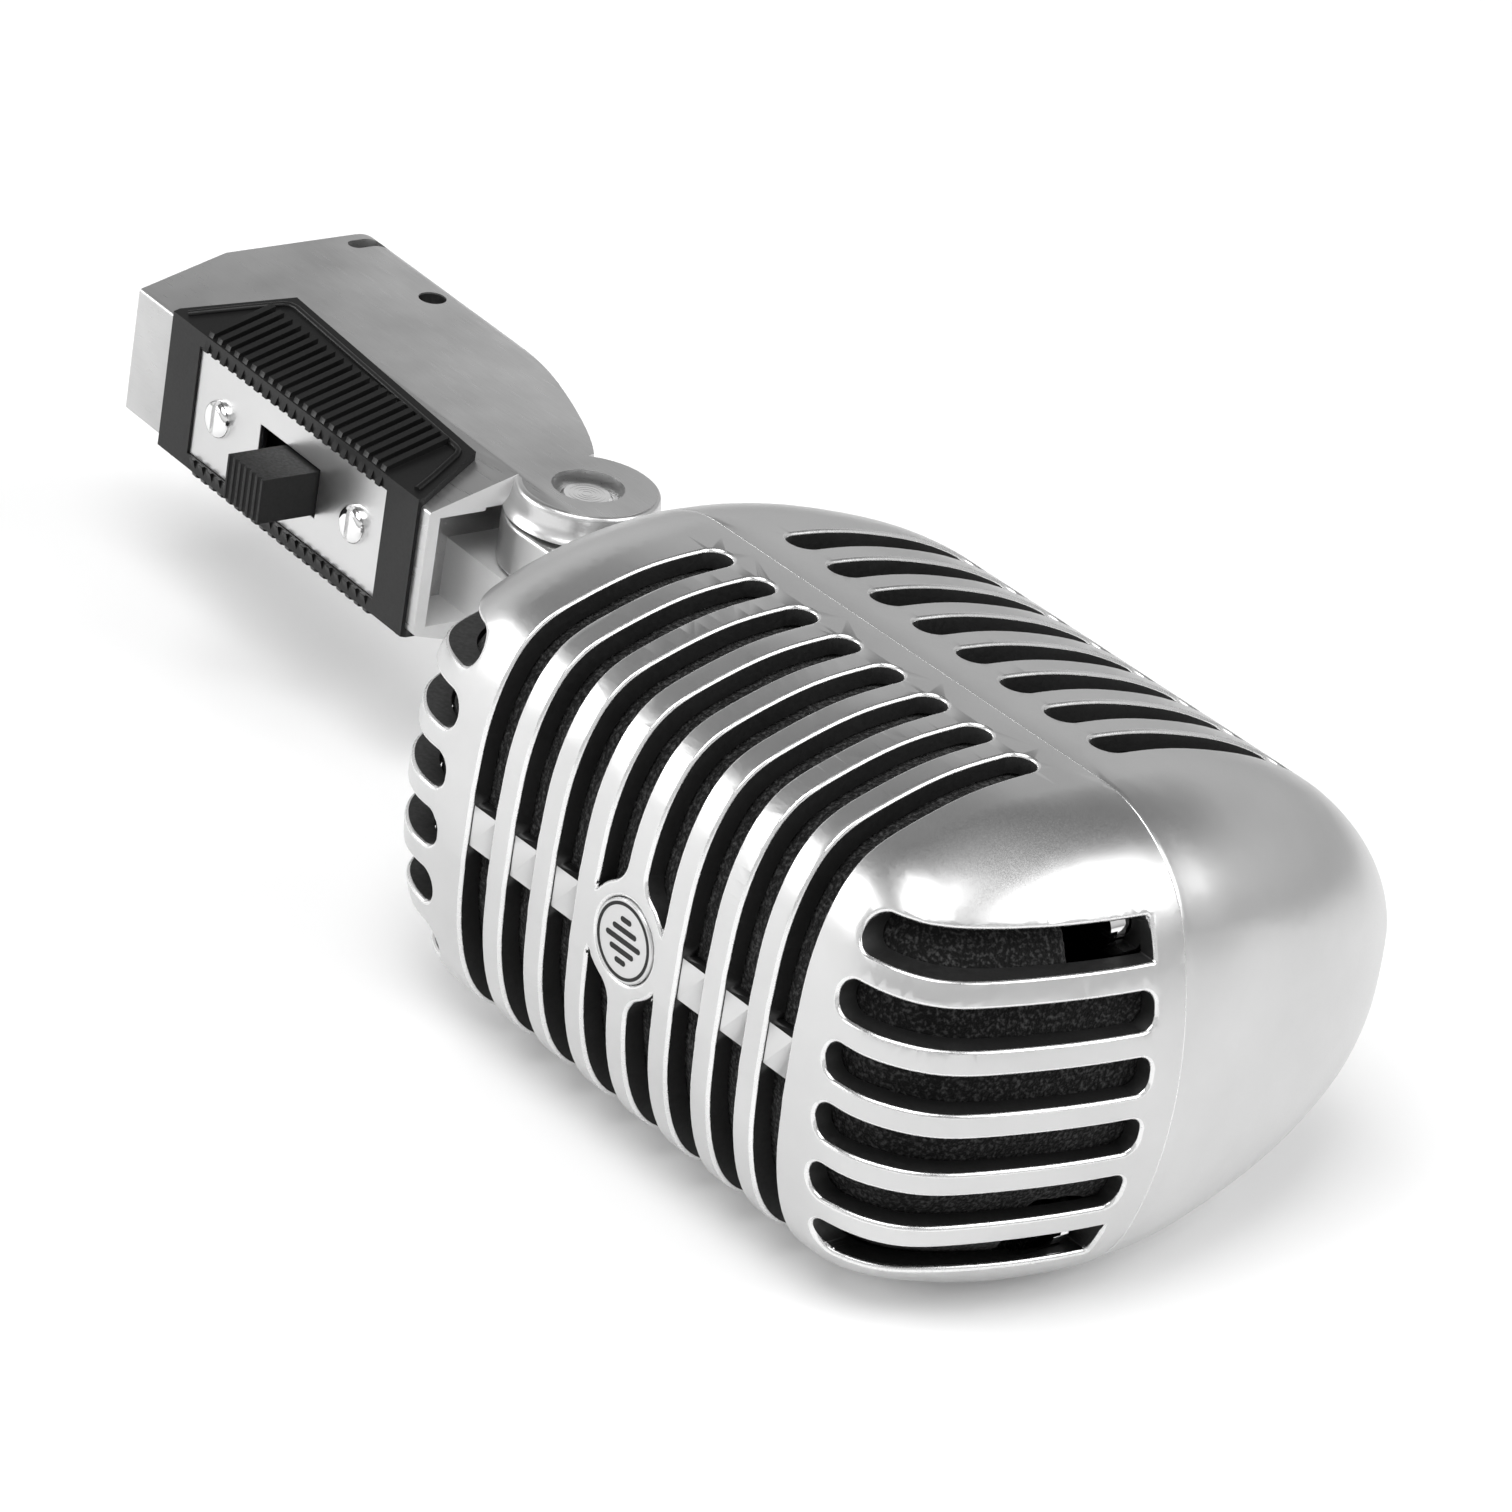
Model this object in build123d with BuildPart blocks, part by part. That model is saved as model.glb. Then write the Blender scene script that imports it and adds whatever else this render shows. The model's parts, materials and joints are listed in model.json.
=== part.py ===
"""Side-address dynamic microphone with a ribbed die-cast head on a swivel base, lying on its side.

The head's own axis runs along +X towards its crown, the grille faces -Y, and the head's
left flank is up. The base hangs from the swivel, leaning a few degrees off the head's axis.
"""

from build123d import *
import math
import os

os.makedirs("parts", exist_ok=True)

# ---------------------------------------------------------------- driving dimensions (mm)
# Where the head stands in the row's frame: its badge centre height, parting plane and axis
head_x = 45.5
parting_y = -5.45
half_width = 28.0
axis_height = 28.04

# Head castings
half_height = 50.8
crown_radius = 49.0
wall = 2.3
front_depth = 33.1
rear_depth = 44.8

# Grille slots
slot_pitch = 7.25
slot_width = 4.0
slot_count = 8
front_slot_end = 3.8
rear_slot_start = 4.7
rear_slot_end = 34.0
rear_spine = 11.0
centre_bar = 4.8
centre_bar_recess = 0.55
badge_radius = 4.7
badge_seat_depth = 1.2
badge_proud = 0.12
medallion_radius = 6.6
web_radius = 3.2
crown_slot_pitch = 7.08
crown_slot_count = 6
crown_slot_width = 4.2
crown_slot_corner = 1.6
crown_slot_tip = 32.5
crown_slot_end = 3.9

# Swivel
pivot_below = 72.6
pivot_behind = 16.2
lean = 3.2
drum_radius = 8.05
drum_face = 11.0
neck_low = 0.8
neck_high = 7.0
neck_reach = 9.4
side_gap = 0.3
pin_radius = 3.0
pin_running = 0.05
pin_recess = 1.0
recess_depth = 2.0
recess_radius = 4.25
washer_radius = 5.6
washer_thickness = 0.5

# Base casting, measured from the pivot: u along the base's axis, b backwards
base_bottom = -68.4
base_rim = -5.3
base_front = -17.7
base_front_half = 7.8
base_crease = -6.0
base_half = 11.0
base_back = 17.0
cavity_floor = -11.8
rim_wall = 1.5
block_front = -10.0
block_top = 8.5

# Stand thread, 5/8 inch with 27 threads to the inch, cut to its minor diameter
thread_radius = 7.43
thread_depth = 11.5
thread_b = -8.4

# Connector bay
connector_u = -57.7
connector_radius = 9.3
connector_floor = 1.6
connector_hole_offset = 8.1
connector_disc_back = 4.6
connector_disc = 3.0
lead_b = 3.1
contact_radius = 1.15

# Switch
bezel_centre = -33.6
bezel_side_lift = 1.04
plate_length = 40.4
plate_width = 13.9
plate_thickness = 0.7
plate_front = -17.9
bezel_front = -18.2
bezel_floor = -16.7
plate_screw_offset = 14.6
slot_length = 12.9
switch_slot_width = 6.1
knob_length = 7.5
knob_width = 5.6
knob_front = -25.6
knob_foot = -14.8
rib_pitch = 1.86
rib_width = 0.95
rib_count = 21

# Screws and small holes
case_screw_radius = 1.5
case_screw_head = 2.6
case_screw_seat = 5.5
case_hole_radius = 1.7
case_head_hole = 2.8
plate_screw_radius = 2.35
plate_hole_radius = 1.2
lock_screw_radius = 1.6
lock_hole_radius = 1.7
block_inset = 2.4
side_hole_radius = 1.7
side_hole_b = 11.3
side_slot_b = 12.6
side_slot_long = 5.4
side_slot_wide = 2.2

# Bays inside the base
switch_bay_long = 38.0
switch_bay_wide = 12.0
transformer_u = -31.0
transformer_bay_long = 26.0
transformer_bay_wide = 16.0
transformer_bay_deep = 16.0

# Capsule
capsule_radius = 15.0
capsule_front = -24.0
capsule_back = 4.0

# ---------------------------------------------------------------- planes
head_origin = Vector(head_x, parting_y, axis_height)
# local x: towards the crown; local y: backwards; normal: up
head_side = Plane(origin=head_origin, x_dir=(1, 0, 0), z_dir=(0, 0, 1))
# local x: towards the crown; local y: up; normal: forwards
head_front = Plane(origin=head_origin, x_dir=(1, 0, 0), z_dir=(0, -1, 0))
# local x: backwards; local y: up; normal: towards the crown
head_cross = Plane(origin=head_origin, x_dir=(0, 1, 0), z_dir=(1, 0, 0))

pivot = head_side.from_local_coords((-pivot_below, pivot_behind, 0))
base_axis = Vector(math.cos(math.radians(lean)), -math.sin(math.radians(lean)), 0)
# the same three planes for the base, about the pivot
base_side = Plane(origin=pivot, x_dir=base_axis, z_dir=(0, 0, 1))
base_face = Plane(origin=pivot, x_dir=base_axis, z_dir=-base_side.y_dir)
base_end = Plane(origin=pivot, x_dir=base_side.y_dir, z_dir=base_axis)

# ---------------------------------------------------------------- head castings
# (distance from the parting plane, half width, half height, corner radius), evenly spaced
# along the flank's curve
front_stations = [
    (0.0, half_width, half_height, 17.0),
    (5.0, 27.95, 50.5, 17.0),
    (10.0, 27.75, 49.8, 17.0),
    (15.0, 27.1, 48.8, 16.6),
    (19.8, 25.9, 47.6, 15.8),
    (24.3, 24.4, 46.2, 14.8),
    (28.0, 22.1, 44.2, 13.2),
    (30.6, 18.2, 41.4, 11.0),
    (32.1, 13.6, 38.7, 8.3),
    (32.8, 8.9, 36.0, 5.5),
    (front_depth, 4.2, 33.2, 2.8),
]
rear_stations = [
    (0.0, half_width, half_height, 17.0),
    (5.2, 27.8, 50.4, 17.0),
    (10.4, 27.3, 49.7, 17.2),
    (15.5, 26.4, 48.7, 17.4),
    (20.5, 25.1, 47.6, 17.3),
    (25.4, 23.5, 46.2, 16.8),
    (30.1, 21.4, 44.5, 15.8),
    (34.5, 18.8, 42.5, 14.2),
    (38.4, 15.6, 40.1, 12.2),
    (41.6, 12.1, 37.4, 9.8),
    (43.8, 7.9, 34.2, 6.6),
    (rear_depth, 3.4, 30.8, 2.8),
]


def section(plane, width, height, corner):
    """One level of the head: straight flanks, arched crown and foot, rounded corners."""
    centre = height - crown_radius
    across = width - corner
    reach = crown_radius - corner
    along = centre + math.sqrt(reach**2 - across**2)
    touch_x = centre + crown_radius * (along - centre) / reach
    touch_y = crown_radius * across / reach
    angle = (math.pi / 2 + math.atan2(across, along - centre)) / 2
    mid_x = along + corner * math.cos(angle)
    mid_y = across + corner * math.sin(angle)
    with BuildSketch(plane) as level:
        with BuildLine():
            ThreePointArc((touch_x, -touch_y), (height, 0), (touch_x, touch_y))
            ThreePointArc((touch_x, touch_y), (mid_x, mid_y), (along, width))
            Line((along, width), (-along, width))
            ThreePointArc((-along, width), (-mid_x, mid_y), (-touch_x, touch_y))
            ThreePointArc((-touch_x, touch_y), (-height, 0), (-touch_x, -touch_y))
            ThreePointArc((-touch_x, -touch_y), (-mid_x, -mid_y), (-along, -width))
            Line((-along, -width), (along, -width))
            ThreePointArc((along, -width), (mid_x, -mid_y), (touch_x, -touch_y))
        make_face()
    return level.sketch


def head_form(stations, direction, inset):
    """The outside of one half of the head, or that surface moved in by inset."""
    depth = stations[-1][0]
    levels = []
    for distance, width, height, corner in stations:
        level = distance * (depth - inset) / depth
        shrink = min(inset, width * 0.5)
        tight = max(corner - shrink, corner * 0.45)
        plane = head_front.offset(direction * level)
        levels.append(section(plane, width - shrink, height - inset, tight))
    with BuildPart() as form:
        loft(levels)
    return form.part


front_outer = head_form(front_stations, 1, 0)
front_inner = head_form(front_stations, 1, wall)
rear_outer = head_form(rear_stations, -1, 0)
rear_inner = head_form(rear_stations, -1, wall)

slot_rows = [(i - (slot_count - 1) / 2) * slot_pitch for i in range(slot_count)]
crown_slots = [(i - (crown_slot_count - 1) / 2) * crown_slot_pitch for i in range(crown_slot_count)]
case_screw_across = crown_slots[-1]
case_screw_along = 42.0
screw_places = [
    (along, across)
    for along in (-case_screw_along, case_screw_along)
    for across in (-case_screw_across, case_screw_across)
]


# the four webs that join the badge's medallion to the rib through its middle
web_x = slot_pitch / 2 - slot_width / 2 + web_radius
web_top = math.sqrt((medallion_radius + web_radius) ** 2 - web_x**2)


def front_slots(direction):
    """Eight slots round one flank of the front, from the centre bar to their rounded ends."""
    length = 40.0
    for row in slot_rows:
        start = web_top if abs(row) < slot_pitch else centre_bar / 2
        with BuildSketch(head_side.offset(direction * start)) as slot:
            with Locations((row, -front_slot_end - slot_width / 2 - length / 2)):
                SlotCenterToCenter(length, slot_width, rotation=90)
        extrude(slot.sketch, amount=direction * 2 * half_width, mode=Mode.SUBTRACT)


def web_openings():
    """The ends of the two middle slots, which follow the medallion and sweep into the middle rib."""
    inner = web_x - web_radius
    outer = inner + slot_width
    share = medallion_radius / (medallion_radius + web_radius)
    foot = (outer, math.sqrt(medallion_radius**2 - outer**2))
    meet = (web_x * share, web_top * share)
    turn = math.atan2(foot[1], foot[0]) / 2 + math.atan2(meet[1], meet[0]) / 2
    on_medallion = (medallion_radius * math.cos(turn), medallion_radius * math.sin(turn))
    sweep = (math.pi + math.atan2(-web_top, -web_x) + 2 * math.pi) / 2
    on_web = (web_x + web_radius * math.cos(sweep), web_top + web_radius * math.sin(sweep))
    with BuildSketch(head_front.offset(front_depth - 6)) as openings:
        with BuildLine():
            ThreePointArc(foot, on_medallion, meet)
            ThreePointArc(meet, on_web, (inner, web_top))
            Line((inner, web_top), (inner, web_top + 0.05))
            Line((inner, web_top + 0.05), (outer, web_top + 0.05))
            Line((outer, web_top + 0.05), foot)
        make_face()
        mirror(about=Plane.XZ)
        mirror(about=Plane.YZ)
    return openings.sketch


def over_crown_slots(direction):
    """Six slots from the front face over the crown, or over the foot when direction is -1."""
    length = 40.0
    for across in crown_slots:
        with BuildSketch(head_front.offset(21.0)) as tip:
            with Locations((direction * (crown_slot_tip + crown_slot_width / 2 + length / 2), across)):
                SlotCenterToCenter(length, crown_slot_width)
        extrude(tip.sketch, amount=20, mode=Mode.SUBTRACT)
        # the two outer slots end square beside the case screws
        corner = 0.2 if across in (crown_slots[0], crown_slots[-1]) else crown_slot_corner
        with BuildSketch(head_cross.offset(direction * 38.0)) as end:
            with Locations((-crown_slot_end - length / 2, across)):
                RectangleRounded(length, crown_slot_width, corner)
        extrude(end.sketch, amount=direction * 20, mode=Mode.SUBTRACT)


boss_radius = 3.6
with BuildPart() as front_grille:
    add(front_outer)
    add(front_inner, mode=Mode.SUBTRACT)
    with BuildPart(mode=Mode.PRIVATE) as front_bosses:
        with BuildSketch(head_front):
            with Locations(*screw_places):
                Circle(boss_radius)
        extrude(amount=case_screw_seat)
        add(front_outer, mode=Mode.INTERSECT)
    add(front_bosses.part)
    for flank in (-1, 1):
        front_slots(flank)
        over_crown_slots(flank)
    extrude(web_openings(), amount=8, mode=Mode.SUBTRACT)
    # between the ribs the centre bar lies a little deeper than they do
    with BuildSketch(head_front.offset(front_depth - centre_bar_recess)):
        with Locations(*[(row, 0) for row in slot_rows if abs(row) > slot_pitch]):
            Rectangle(slot_width, centre_bar + 0.4)
    extrude(amount=2, mode=Mode.SUBTRACT)
    with BuildSketch(head_front):
        with Locations(*screw_places):
            Circle(case_hole_radius)
    extrude(amount=12, mode=Mode.SUBTRACT)
    with BuildSketch(head_front.offset(case_screw_seat)):
        with Locations(*screw_places):
            Circle(case_head_hole)
    extrude(amount=6, mode=Mode.SUBTRACT)
    # seat for the badge
    with BuildSketch(head_front.offset(front_depth - badge_seat_depth)):
        Circle(badge_radius + 0.05)
    extrude(amount=2, mode=Mode.SUBTRACT)
front_grille.part.label = "front_grille"
export_step(front_grille.part, "parts/front_grille.step")

with BuildPart() as rear_shell:
    add(rear_outer)
    add(rear_inner, mode=Mode.SUBTRACT)
    with BuildPart(mode=Mode.PRIVATE) as rear_bosses:
        with BuildSketch(head_front):
            with Locations(*screw_places):
                Circle(boss_radius)
        extrude(amount=-9)
        add(rear_outer, mode=Mode.INTERSECT)
    add(rear_bosses.part)
    with BuildSketch(head_front):
        with Locations(*screw_places):
            Circle(case_screw_radius)
    extrude(amount=-7.5, mode=Mode.SUBTRACT)
    slot_run = rear_slot_end - rear_slot_start - slot_width
    for flank in (-1, 1):
        with BuildSketch(head_side.offset(flank * rear_spine)):
            for row in slot_rows:
                with Locations((row, (rear_slot_start + rear_slot_end) / 2)):
                    SlotCenterToCenter(slot_run, slot_width, rotation=90)
        extrude(amount=flank * 2 * half_width, mode=Mode.SUBTRACT)
    # the neck passes through the foot of the shell
    with BuildSketch(head_side.offset(neck_low)):
        with Locations((-half_height + 2, pivot_behind)):
            Rectangle(20, 2 * neck_reach)
    extrude(amount=neck_high - neck_low, mode=Mode.SUBTRACT)
rear_shell.part.label = "rear_shell"
export_step(rear_shell.part, "parts/rear_shell.step")

# ---------------------------------------------------------------- fittings on the head
with BuildPart() as badge:
    with BuildSketch(head_front.offset(front_depth - badge_seat_depth)):
        Circle(badge_radius)
    extrude(amount=badge_seat_depth + badge_proud)
    chamfer(badge.faces().sort_by(Axis.Y)[0].edges(), 0.15)
badge.part.label = "badge"
export_step(badge.part, "parts/badge.step")

screw_head_depth = 2.0
with BuildPart() as case_screws:
    with BuildSketch(head_front.offset(case_screw_seat)):
        with Locations(*screw_places):
            Circle(case_screw_head)
    extrude(amount=screw_head_depth)
    with BuildSketch(head_front.offset(case_screw_seat + screw_head_depth)):
        with Locations(*screw_places):
            Rectangle(6, 0.8)
    extrude(amount=-0.9, mode=Mode.SUBTRACT)
    with BuildSketch(head_front.offset(-7.0)):
        with Locations(*screw_places):
            Circle(case_screw_radius)
    extrude(amount=7.0 + case_screw_seat)
case_screws.part.label = "case_screws"
export_step(case_screws.part, "parts/case_screws.step")

foam_gap = 0.25
foam_thickness = 2.6
for name, stations, direction in (
    ("foam_liner_front", front_stations, 1),
    ("foam_liner_rear", rear_stations, -1),
):
    with BuildPart() as liner:
        add(head_form(stations, direction, wall + foam_gap))
        add(head_form(stations, direction, wall + foam_gap + foam_thickness), mode=Mode.SUBTRACT)
        # the foam stops short of the screw bosses and of the neck's flange
        with BuildSketch(head_front.offset(-12)):
            with Locations(*screw_places):
                Circle(boss_radius + 2.2)
        extrude(amount=24, mode=Mode.SUBTRACT)
        with BuildSketch(head_side.offset(-13)):
            with Locations((-half_height, pivot_behind)):
                Rectangle(24, 30)
        extrude(amount=26, mode=Mode.SUBTRACT)
        # a hair's gap at the parting plane
        with BuildSketch(head_front.offset(-0.2)):
            Rectangle(120, 60)
        extrude(amount=0.4, mode=Mode.SUBTRACT)
    liner.part.label = name
    export_step(liner.part, f"parts/{name}.step")

# the neck: a lug round the pivot, a root through the shell, and a flange cast on inside it
flange_half_long = 12.5
flange_half_wide = 9.0
flange_top = 41.0
neck_middle = -(neck_low + neck_high) / 2
neck_width = neck_high - neck_low
with BuildPart() as swivel_neck:
    with BuildSketch(head_side.offset(neck_low)):
        with Locations((-pivot_below, pivot_behind)):
            Circle(neck_reach)
        with Locations((-(pivot_below + flange_top) / 2, pivot_behind)):
            Rectangle(pivot_below - flange_top, 2 * neck_reach)
    extrude(amount=neck_width)
    fillet(swivel_neck.edges().filter_by(Axis.X), 0.6)
    with BuildPart(mode=Mode.PRIVATE) as flange:
        with BuildSketch(head_side.offset(-flange_half_wide - neck_middle)):
            with Locations((-flange_top - 7, pivot_behind)):
                Rectangle(14, 2 * flange_half_long)
        extrude(amount=2 * flange_half_wide)
        add(rear_inner, mode=Mode.INTERSECT)
    add(flange.part)
    with BuildSketch(head_side.offset(neck_low)):
        with Locations((-pivot_below, pivot_behind)):
            Circle(pin_radius + pin_running)
    extrude(amount=neck_width, mode=Mode.SUBTRACT)
swivel_neck.part.label = "swivel_neck"
export_step(swivel_neck.part, "parts/swivel_neck.step")

# ---------------------------------------------------------------- capsule, facing the grille
can_wall = 0.8
cap_thickness = 1.2
magnet_radius = 8.5
gap_radius = 10.0

with BuildPart() as capsule_can:
    with BuildSketch(head_front.offset(-capsule_back)):
        Circle(capsule_radius)
    extrude(amount=capsule_back - capsule_front)
    with BuildSketch(head_front.offset(-capsule_back + can_wall)):
        Circle(capsule_radius - can_wall)
    extrude(amount=capsule_back - capsule_front, mode=Mode.SUBTRACT)
    with BuildSketch(head_front.offset(-capsule_back)):
        with PolarLocations(capsule_radius * 0.6, 8):
            Circle(1.6)
    extrude(amount=can_wall, mode=Mode.SUBTRACT)
capsule_can.part.label = "capsule_can"
export_step(capsule_can.part, "parts/capsule_can.step")

with BuildPart() as capsule_cap:
    with BuildSketch(head_front.offset(-capsule_front - cap_thickness)):
        Circle(capsule_radius - can_wall)
    extrude(amount=cap_thickness)
    with BuildSketch(head_front.offset(-capsule_front - cap_thickness)):
        Circle(1.5)
        with PolarLocations(5.2, 6):
            Circle(1.5)
        with PolarLocations(10.4, 12):
            Circle(1.5)
    extrude(amount=cap_thickness, mode=Mode.SUBTRACT)
capsule_cap.part.label = "capsule_cap"
export_step(capsule_cap.part, "parts/capsule_cap.step")

diaphragm_depth = -capsule_front - cap_thickness - 3.2
with BuildPart() as diaphragm:
    with BuildSketch(head_front.offset(diaphragm_depth)):
        Circle(capsule_radius - can_wall)
    extrude(amount=0.5)
    with BuildSketch(head_front.offset(diaphragm_depth + 0.5)):
        Circle(gap_radius - 0.6)
    extrude(amount=1.6, taper=35)
diaphragm.part.label = "diaphragm"
export_step(diaphragm.part, "parts/diaphragm.step")

coil_thickness = 0.5
coil_length = 5.0
with BuildPart() as voice_coil:
    with BuildSketch(head_front.offset(diaphragm_depth)):
        Circle(gap_radius - 0.4)
        Circle(gap_radius - 0.4 - coil_thickness, mode=Mode.SUBTRACT)
    extrude(amount=-coil_length)
voice_coil.part.label = "voice_coil"
export_step(voice_coil.part, "parts/voice_coil.step")

yoke_front = diaphragm_depth - 1.6
with BuildPart() as yoke:
    with BuildSketch(head_front.offset(yoke_front)):
        Circle(capsule_radius - can_wall)
        Circle(gap_radius, mode=Mode.SUBTRACT)
    extrude(amount=-3.0)
    with BuildSketch(head_front.offset(yoke_front - 3.0)):
        Circle(capsule_radius - can_wall)
        Circle(capsule_radius - can_wall - 2.0, mode=Mode.SUBTRACT)
    extrude(amount=-10.0)
    with BuildSketch(head_front.offset(yoke_front - 13.0)):
        Circle(capsule_radius - can_wall)
    extrude(amount=-2.0)
yoke.part.label = "yoke"
export_step(yoke.part, "parts/yoke.step")

with BuildPart() as magnet:
    with BuildSketch(head_front.offset(yoke_front - 0.2)):
        Circle(magnet_radius)
    extrude(amount=-12.8)
magnet.part.label = "magnet"
export_step(magnet.part, "parts/magnet.step")

ring_half = 2.6
ring_places = (-capsule_front - 5.5, -capsule_back + 5.5)
with BuildPart() as shock_rings:
    for level in ring_places:
        with BuildSketch(head_front.offset(level - ring_half)):
            Circle(capsule_radius + 2.5)
            Circle(capsule_radius, mode=Mode.SUBTRACT)
        extrude(amount=2 * ring_half)
shock_rings.part.label = "shock_rings"
export_step(shock_rings.part, "parts/shock_rings.step")

bracket_half = 2.0
bracket_outer = capsule_radius + 3.6
with BuildPart() as capsule_bracket:
    for level in ring_places:
        with BuildSketch(head_front.offset(level - bracket_half)):
            Circle(bracket_outer)
            Circle(capsule_radius + 2.5, mode=Mode.SUBTRACT)
        extrude(amount=2 * bracket_half)
    # a strap joins the two bands and runs down to the neck's flange
    with BuildSketch(head_side.offset(-4)):
        with Locations((-capsule_radius - 3.6, -(ring_places[0] + ring_places[1]) / 2)):
            Rectangle(1.6, ring_places[0] - ring_places[1] + 2 * bracket_half)
        with Locations((-capsule_radius - 3.6, 6)):
            Rectangle(1.6, 17)
        with Locations((-(capsule_radius + 2.8 + flange_top) / 2, 13.7)):
            Rectangle(flange_top - capsule_radius - 2.8, 1.6)
    extrude(amount=8)
capsule_bracket.part.label = "capsule_bracket"
export_step(capsule_bracket.part, "parts/capsule_bracket.step")

# ---------------------------------------------------------------- base casting
back_curve = [
    (-66.4, base_back),
    (-58.0, base_back),
    (-46.0, 16.5),
    (-30.0, 13.9),
    (-17.0, 10.1),
    (-7.0, 5.6),
]
with BuildPart() as base_form:
    with BuildSketch(base_end.offset(base_bottom)) as plan:
        with BuildLine():
            Polyline(
                (base_front, -base_front_half),
                (base_crease, -base_half),
                (base_back, -base_half),
                (base_back, base_half),
                (base_crease, base_half),
                (base_front, base_front_half),
                close=True,
            )
        make_face()
        fillet(plan.vertices().group_by(Axis.X)[-1], 4.5)
        fillet(plan.vertices().group_by(Axis.X)[0], 0.5)
    extrude(amount=-base_bottom + 2 * drum_radius)
    with BuildSketch(base_side.offset(-base_half - 1)):
        with BuildLine():
            Line((base_rim, base_front), (base_bottom, base_front))
            Line((base_bottom, base_front), (base_bottom, base_back - 2.5))
            ThreePointArc(
                (base_bottom, base_back - 2.5), (base_bottom + 0.7, base_back - 0.7), back_curve[0]
            )
            Spline(back_curve, tangents=[(1, 0), (1, -0.62)])
            Line(back_curve[-1], (base_rim, 0))
            Line((base_rim, 0), (base_rim, base_front))
        make_face()
        Circle(drum_radius)
    extrude(amount=2 * base_half + 2, mode=Mode.INTERSECT)

    # step that the switch bezel is set into
    with BuildSketch(base_face.offset(-bezel_floor)):
        with Locations((bezel_centre, 0)):
            Rectangle(50.4, 4 * base_half)
    extrude(amount=4, mode=Mode.SUBTRACT)

rim_inside = base_front + rim_wall
with BuildPart() as base_casting:
    add(base_form.part)
    # the swivel's cavity in front of the two ears
    with BuildSketch(base_side.offset(-base_front_half + rim_wall - 0.6)):
        with Locations(((cavity_floor + 5) / 2, (rim_inside + block_front) / 2)):
            Rectangle(5 - cavity_floor, block_front - rim_inside)
    extrude(amount=2 * (base_front_half - rim_wall + 0.6), mode=Mode.SUBTRACT)
    # the gap for the neck, open behind
    with BuildSketch(base_side.offset(neck_low - side_gap)):
        with Locations(((cavity_floor + 15) / 2, (block_front + 22) / 2)):
            Rectangle(15 - cavity_floor, 22 - block_front)
    extrude(amount=neck_width + 2 * side_gap, mode=Mode.SUBTRACT)
    # the thick ear comes forward as a block with a flat front
    with BuildSketch(base_side.offset(-base_half + block_inset)) as block:
        with Locations(((cavity_floor + block_top) / 2, (block_front + drum_radius - 1.5) / 2)):
            Rectangle(block_top - cavity_floor, drum_radius - 1.5 - block_front)
        fillet(block.vertices().group_by(Axis.X)[-1], 5.0)
    extrude(amount=neck_low - side_gap + base_half - block_inset)
    # recesses and bore for the pivot pin
    with BuildSketch(base_side.offset(drum_face - recess_depth)):
        Circle(recess_radius)
    extrude(amount=recess_depth, mode=Mode.SUBTRACT)
    with BuildSketch(base_side.offset(recess_depth - drum_face)):
        Circle(recess_radius)
    extrude(amount=-recess_depth, mode=Mode.SUBTRACT)
    with BuildSketch(base_side.offset(-base_half)):
        Circle(pin_radius)
    extrude(amount=2 * base_half, mode=Mode.SUBTRACT)
    # seats for the friction washers, one in each ear
    for seat in (neck_low - side_gap - washer_thickness, neck_high + side_gap):
        with BuildSketch(base_side.offset(seat)):
            Circle(washer_radius)
        extrude(amount=washer_thickness, mode=Mode.SUBTRACT)
    # tapped hole in the block's front for the screw that locks the pin
    with BuildSketch(base_face.offset(-block_front)):
        with Locations((0, -(base_half - block_inset) / 2)):
            Circle(lock_hole_radius)
    extrude(amount=-(-block_front - pin_radius), mode=Mode.SUBTRACT)
    # switch bay, open at the front
    with BuildSketch(base_face.offset(8.0)):
        with Locations((bezel_centre, 0)):
            Rectangle(switch_bay_long, switch_bay_wide)
    extrude(amount=12, mode=Mode.SUBTRACT)
    # transformer bay behind it
    with BuildSketch(base_face.offset(-7.0)):
        with Locations((transformer_u, 0)):
            Rectangle(transformer_bay_long, transformer_bay_wide)
    extrude(amount=transformer_bay_deep, mode=Mode.SUBTRACT)
    # connector bay, open at the back, with a passage to the transformer bay
    with BuildSketch(base_face.offset(-base_back - 1)):
        with Locations((connector_u, 0)):
            Circle(connector_radius)
    extrude(amount=base_back + 1 - connector_floor, mode=Mode.SUBTRACT)
    with BuildSketch(base_end.offset(-50)):
        with Locations((lead_b, 0)):
            Circle(1.4)
    extrude(amount=8, mode=Mode.SUBTRACT)
    # side hole and slot that reach the connector's fixings
    with BuildSketch(base_side.offset(3)):
        with Locations((connector_u + connector_hole_offset, side_hole_b)):
            Circle(side_hole_radius)
        with Locations((connector_u - connector_hole_offset, side_slot_b)):
            SlotOverall(side_slot_long, side_slot_wide, rotation=90)
    extrude(amount=base_half, mode=Mode.SUBTRACT)
    # stand thread
    with BuildSketch(base_end.offset(base_bottom)):
        with Locations((thread_b, 0)):
            Circle(thread_radius)
    extrude(amount=thread_depth, mode=Mode.SUBTRACT)
base_casting.part.label = "base_casting"
export_step(base_casting.part, "parts/base_casting.step")

# ---------------------------------------------------------------- swivel fittings
pin_half = drum_face - pin_recess
with BuildPart() as pivot_pin:
    with BuildSketch(base_side.offset(-pin_half)):
        Circle(pin_radius)
    extrude(amount=2 * pin_half)
    chamfer(pivot_pin.edges().filter_by(GeomType.CIRCLE), 0.3)
pivot_pin.part.label = "pivot_pin"
export_step(pivot_pin.part, "parts/pivot_pin.step")

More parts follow.
